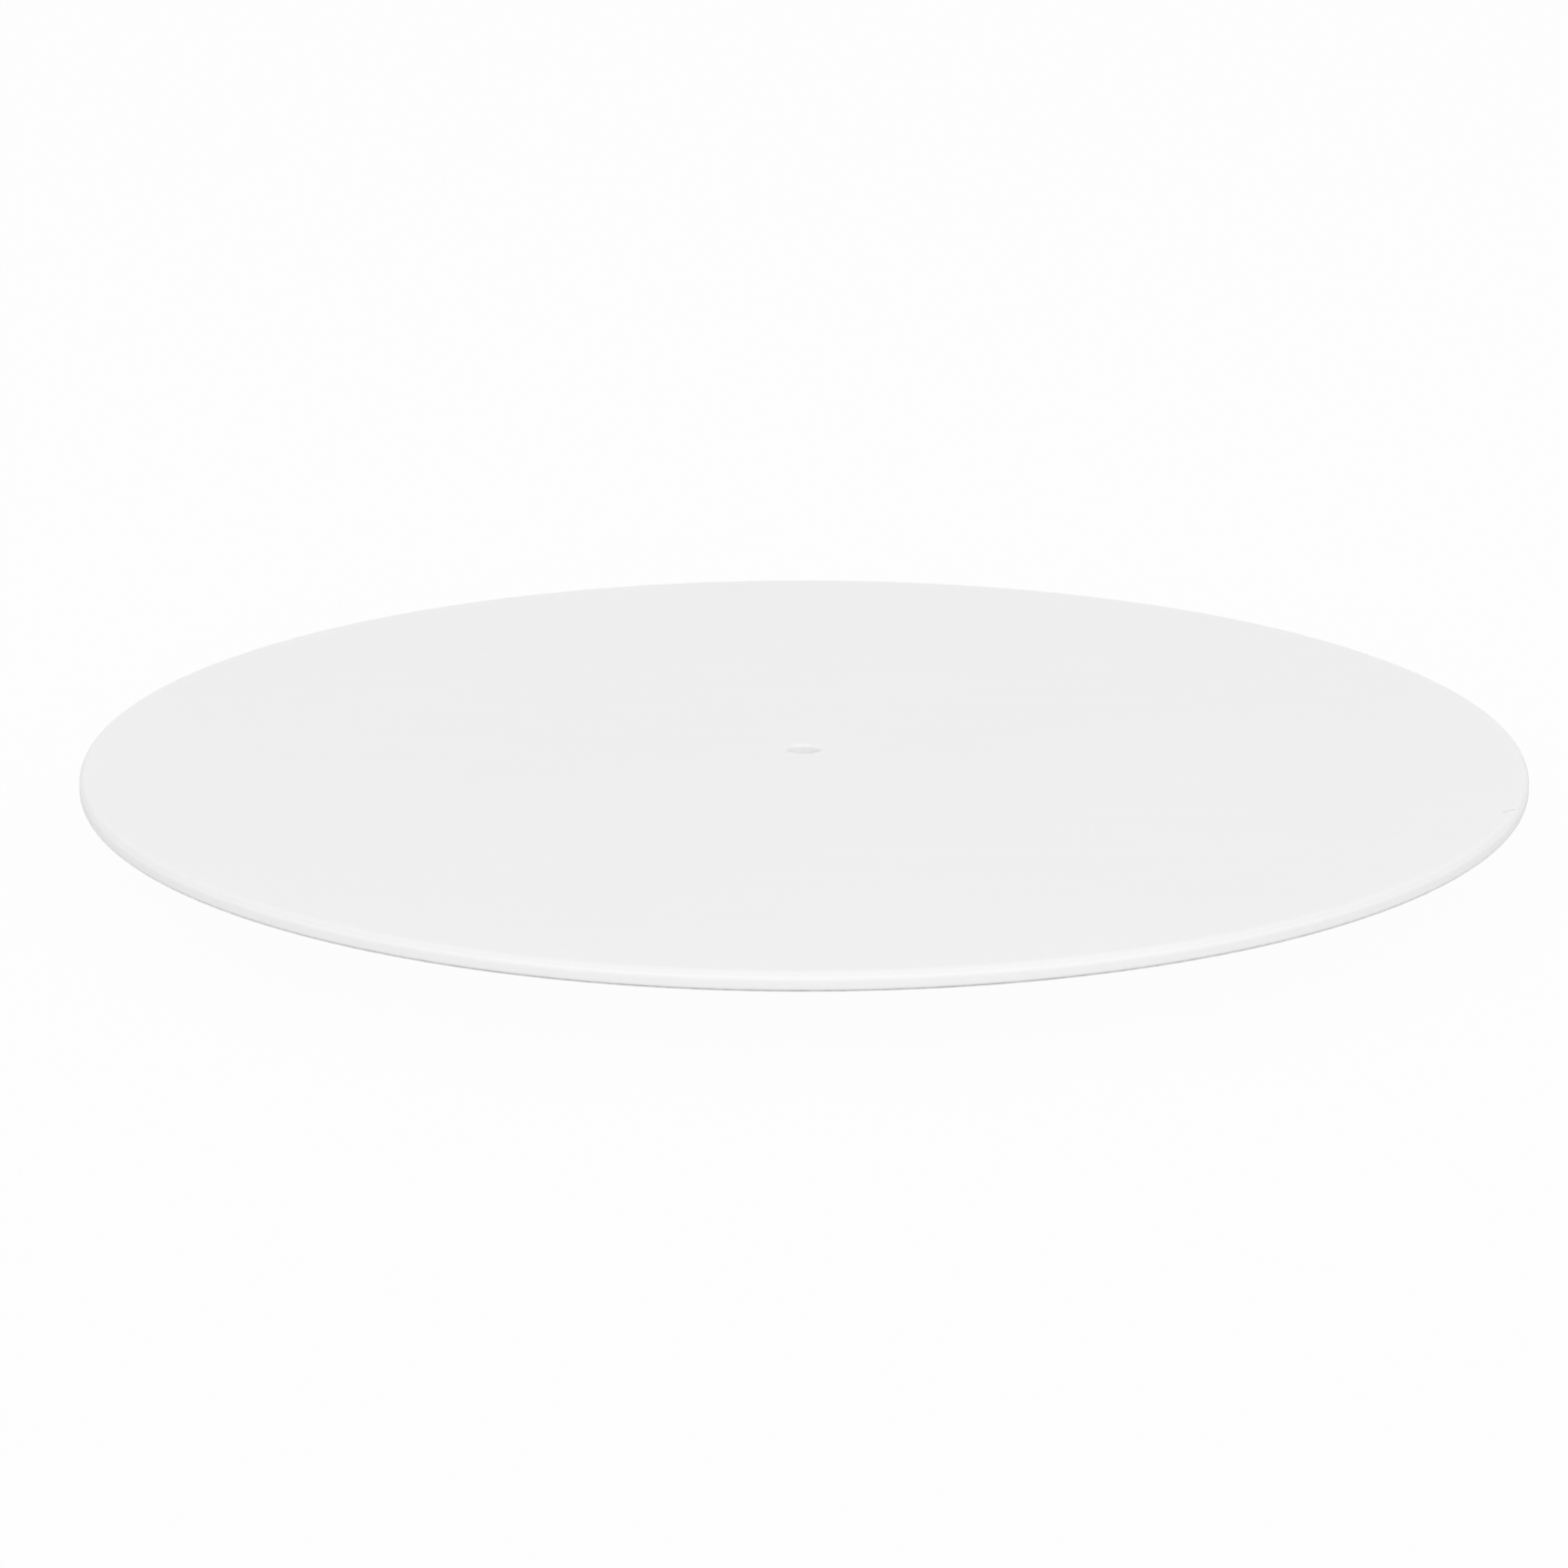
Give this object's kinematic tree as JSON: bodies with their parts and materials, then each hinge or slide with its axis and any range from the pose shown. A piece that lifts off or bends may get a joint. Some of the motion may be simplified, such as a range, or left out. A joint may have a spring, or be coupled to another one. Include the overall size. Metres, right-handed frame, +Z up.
{
  "type": "lazy susan turntable",
  "caption": "Flat round white serving disc with a small centre hole, lying loose on a low round ball-bearing stand hidden under its middle, so that it can be turned by hand.",
  "frame": {"origin": "on the table, on the axis of rotation, at the underside of the rubber feet", "axes": "+Z up along the axis of rotation; +X and +Y in the plane of the table, with a race screw on +X"},
  "size_m": [0.4, 0.4, 0.026],
  "materials": {
    "white_acrylic": "opal white cast acrylic sheet, satin top with fine wipe marks, polished round edge",
    "white_abs": "white moulded ABS with a fine spark-eroded texture",
    "plated_steel": "pressed sheet steel, bright zinc plated, with a polished ball track",
    "ball_steel": "hardened and polished bearing balls",
    "natural_nylon": "natural moulded nylon, slightly yellow and waxy",
    "acetal": "turned natural acetal",
    "screw_steel": "zinc plated steel fasteners",
    "pad_silicone": "soft translucent silicone, matte",
    "foot_rubber": "black moulded rubber"
  },
  "bodies": {
    "base": {"base_housing": "white_abs", "lower_race": "plated_steel", "lower_race_screws": "screw_steel", "pivot_screw": "screw_steel", "pivot_washer": "screw_steel", "pivot_nut": "screw_steel", "rubber_foot_1": "foot_rubber", "rubber_foot_2": "foot_rubber", "rubber_foot_3": "foot_rubber", "rubber_foot_4": "foot_rubber", "rubber_foot_5": "foot_rubber", "rubber_foot_6": "foot_rubber"},
    "rotor": {"carrier_plate": "white_abs", "upper_race": "plated_steel", "upper_race_screws": "screw_steel", "hub_bush": "acetal", "hub_cap": "white_abs", "grip_pad_1": "pad_silicone", "grip_pad_2": "pad_silicone", "grip_pad_3": "pad_silicone", "grip_pad_4": "pad_silicone", "grip_pad_5": "pad_silicone", "grip_pad_6": "pad_silicone"},
    "disc": {"turntable_disc": "white_acrylic"},
    "cage": {"ball_cage": "natural_nylon"},
    "rolling_ball_01": {"ball_01": "ball_steel"},
    "rolling_ball_02": {"ball_02": "ball_steel"},
    "rolling_ball_03": {"ball_03": "ball_steel"},
    "rolling_ball_04": {"ball_04": "ball_steel"},
    "rolling_ball_05": {"ball_05": "ball_steel"},
    "rolling_ball_06": {"ball_06": "ball_steel"},
    "rolling_ball_07": {"ball_07": "ball_steel"},
    "rolling_ball_08": {"ball_08": "ball_steel"},
    "rolling_ball_09": {"ball_09": "ball_steel"},
    "rolling_ball_10": {"ball_10": "ball_steel"},
    "rolling_ball_11": {"ball_11": "ball_steel"},
    "rolling_ball_12": {"ball_12": "ball_steel"},
    "rolling_ball_13": {"ball_13": "ball_steel"},
    "rolling_ball_14": {"ball_14": "ball_steel"},
    "rolling_ball_15": {"ball_15": "ball_steel"},
    "rolling_ball_16": {"ball_16": "ball_steel"},
    "rolling_ball_17": {"ball_17": "ball_steel"},
    "rolling_ball_18": {"ball_18": "ball_steel"},
    "rolling_ball_19": {"ball_19": "ball_steel"},
    "rolling_ball_20": {"ball_20": "ball_steel"},
    "rolling_ball_21": {"ball_21": "ball_steel"},
    "rolling_ball_22": {"ball_22": "ball_steel"},
    "rolling_ball_23": {"ball_23": "ball_steel"},
    "rolling_ball_24": {"ball_24": "ball_steel"}
  },
  "joints": [
    {"name": "platter_spin", "type": "hinge", "parent": "base", "child": "rotor", "pos_m": [0, 0, 0.0125], "axis": [0, 0, 1], "continuous": true},
    {"name": "cage_orbit", "type": "hinge", "parent": "base", "child": "cage", "pos_m": [0, 0, 0.0125], "axis": [0, 0, 1], "continuous": true},
    {"name": "disc_lift", "type": "slide", "parent": "rotor", "child": "disc", "axis": [0, 0, 1], "range_m": [0, 0.04]},
    {"name": "ball_01_roll", "type": "hinge", "parent": "cage", "child": "rolling_ball_01", "pos_m": [0.08, 0, 0.0125], "axis": [1, 0, 0], "continuous": true},
    {"name": "ball_02_roll", "type": "hinge", "parent": "cage", "child": "rolling_ball_02", "pos_m": [0.07727, 0.02071, 0.0125], "axis": [0.9659, 0.2588, 0], "continuous": true},
    {"name": "ball_03_roll", "type": "hinge", "parent": "cage", "child": "rolling_ball_03", "pos_m": [0.06928, 0.04, 0.0125], "axis": [0.866, 0.5, 0], "continuous": true},
    {"name": "ball_04_roll", "type": "hinge", "parent": "cage", "child": "rolling_ball_04", "pos_m": [0.05657, 0.05657, 0.0125], "axis": [0.7071, 0.7071, 0], "continuous": true},
    {"name": "ball_05_roll", "type": "hinge", "parent": "cage", "child": "rolling_ball_05", "pos_m": [0.04, 0.06928, 0.0125], "axis": [0.5, 0.866, 0], "continuous": true},
    {"name": "ball_06_roll", "type": "hinge", "parent": "cage", "child": "rolling_ball_06", "pos_m": [0.02071, 0.07727, 0.0125], "axis": [0.2588, 0.9659, 0], "continuous": true},
    {"name": "ball_07_roll", "type": "hinge", "parent": "cage", "child": "rolling_ball_07", "pos_m": [0, 0.08, 0.0125], "axis": [0, 1, 0], "continuous": true},
    {"name": "ball_08_roll", "type": "hinge", "parent": "cage", "child": "rolling_ball_08", "pos_m": [-0.02071, 0.07727, 0.0125], "axis": [-0.2588, 0.9659, 0], "continuous": true},
    {"name": "ball_09_roll", "type": "hinge", "parent": "cage", "child": "rolling_ball_09", "pos_m": [-0.04, 0.06928, 0.0125], "axis": [-0.5, 0.866, 0], "continuous": true},
    {"name": "ball_10_roll", "type": "hinge", "parent": "cage", "child": "rolling_ball_10", "pos_m": [-0.05657, 0.05657, 0.0125], "axis": [-0.7071, 0.7071, 0], "continuous": true},
    {"name": "ball_11_roll", "type": "hinge", "parent": "cage", "child": "rolling_ball_11", "pos_m": [-0.06928, 0.04, 0.0125], "axis": [-0.866, 0.5, 0], "continuous": true},
    {"name": "ball_12_roll", "type": "hinge", "parent": "cage", "child": "rolling_ball_12", "pos_m": [-0.07727, 0.02071, 0.0125], "axis": [-0.9659, 0.2588, 0], "continuous": true},
    {"name": "ball_13_roll", "type": "hinge", "parent": "cage", "child": "rolling_ball_13", "pos_m": [-0.08, 0, 0.0125], "axis": [-1, 0, 0], "continuous": true},
    {"name": "ball_14_roll", "type": "hinge", "parent": "cage", "child": "rolling_ball_14", "pos_m": [-0.07727, -0.02071, 0.0125], "axis": [-0.9659, -0.2588, 0], "continuous": true},
    {"name": "ball_15_roll", "type": "hinge", "parent": "cage", "child": "rolling_ball_15", "pos_m": [-0.06928, -0.04, 0.0125], "axis": [-0.866, -0.5, 0], "continuous": true},
    {"name": "ball_16_roll", "type": "hinge", "parent": "cage", "child": "rolling_ball_16", "pos_m": [-0.05657, -0.05657, 0.0125], "axis": [-0.7071, -0.7071, 0], "continuous": true},
    {"name": "ball_17_roll", "type": "hinge", "parent": "cage", "child": "rolling_ball_17", "pos_m": [-0.04, -0.06928, 0.0125], "axis": [-0.5, -0.866, 0], "continuous": true},
    {"name": "ball_18_roll", "type": "hinge", "parent": "cage", "child": "rolling_ball_18", "pos_m": [-0.02071, -0.07727, 0.0125], "axis": [-0.2588, -0.9659, 0], "continuous": true},
    {"name": "ball_19_roll", "type": "hinge", "parent": "cage", "child": "rolling_ball_19", "pos_m": [0, -0.08, 0.0125], "axis": [0, -1, 0], "continuous": true},
    {"name": "ball_20_roll", "type": "hinge", "parent": "cage", "child": "rolling_ball_20", "pos_m": [0.02071, -0.07727, 0.0125], "axis": [0.2588, -0.9659, 0], "continuous": true},
    {"name": "ball_21_roll", "type": "hinge", "parent": "cage", "child": "rolling_ball_21", "pos_m": [0.04, -0.06928, 0.0125], "axis": [0.5, -0.866, 0], "continuous": true},
    {"name": "ball_22_roll", "type": "hinge", "parent": "cage", "child": "rolling_ball_22", "pos_m": [0.05657, -0.05657, 0.0125], "axis": [0.7071, -0.7071, 0], "continuous": true},
    {"name": "ball_23_roll", "type": "hinge", "parent": "cage", "child": "rolling_ball_23", "pos_m": [0.06928, -0.04, 0.0125], "axis": [0.866, -0.5, 0], "continuous": true},
    {"name": "ball_24_roll", "type": "hinge", "parent": "cage", "child": "rolling_ball_24", "pos_m": [0.07727, -0.02071, 0.0125], "axis": [0.9659, -0.2588, 0], "continuous": true}
  ],
  "couplings": [
    {"joint": "cage_orbit", "follows": "platter_spin", "ratio": 0.5},
    {"joint": "ball_01_roll", "follows": "platter_spin", "ratio": -12.598},
    {"joint": "ball_02_roll", "follows": "platter_spin", "ratio": -12.598},
    {"joint": "ball_03_roll", "follows": "platter_spin", "ratio": -12.598},
    {"joint": "ball_04_roll", "follows": "platter_spin", "ratio": -12.598},
    {"joint": "ball_05_roll", "follows": "platter_spin", "ratio": -12.598},
    {"joint": "ball_06_roll", "follows": "platter_spin", "ratio": -12.598},
    {"joint": "ball_07_roll", "follows": "platter_spin", "ratio": -12.598},
    {"joint": "ball_08_roll", "follows": "platter_spin", "ratio": -12.598},
    {"joint": "ball_09_roll", "follows": "platter_spin", "ratio": -12.598},
    {"joint": "ball_10_roll", "follows": "platter_spin", "ratio": -12.598},
    {"joint": "ball_11_roll", "follows": "platter_spin", "ratio": -12.598},
    {"joint": "ball_12_roll", "follows": "platter_spin", "ratio": -12.598},
    {"joint": "ball_13_roll", "follows": "platter_spin", "ratio": -12.598},
    {"joint": "ball_14_roll", "follows": "platter_spin", "ratio": -12.598},
    {"joint": "ball_15_roll", "follows": "platter_spin", "ratio": -12.598},
    {"joint": "ball_16_roll", "follows": "platter_spin", "ratio": -12.598},
    {"joint": "ball_17_roll", "follows": "platter_spin", "ratio": -12.598},
    {"joint": "ball_18_roll", "follows": "platter_spin", "ratio": -12.598},
    {"joint": "ball_19_roll", "follows": "platter_spin", "ratio": -12.598},
    {"joint": "ball_20_roll", "follows": "platter_spin", "ratio": -12.598},
    {"joint": "ball_21_roll", "follows": "platter_spin", "ratio": -12.598},
    {"joint": "ball_22_roll", "follows": "platter_spin", "ratio": -12.598},
    {"joint": "ball_23_roll", "follows": "platter_spin", "ratio": -12.598},
    {"joint": "ball_24_roll", "follows": "platter_spin", "ratio": -12.598}
  ]
}
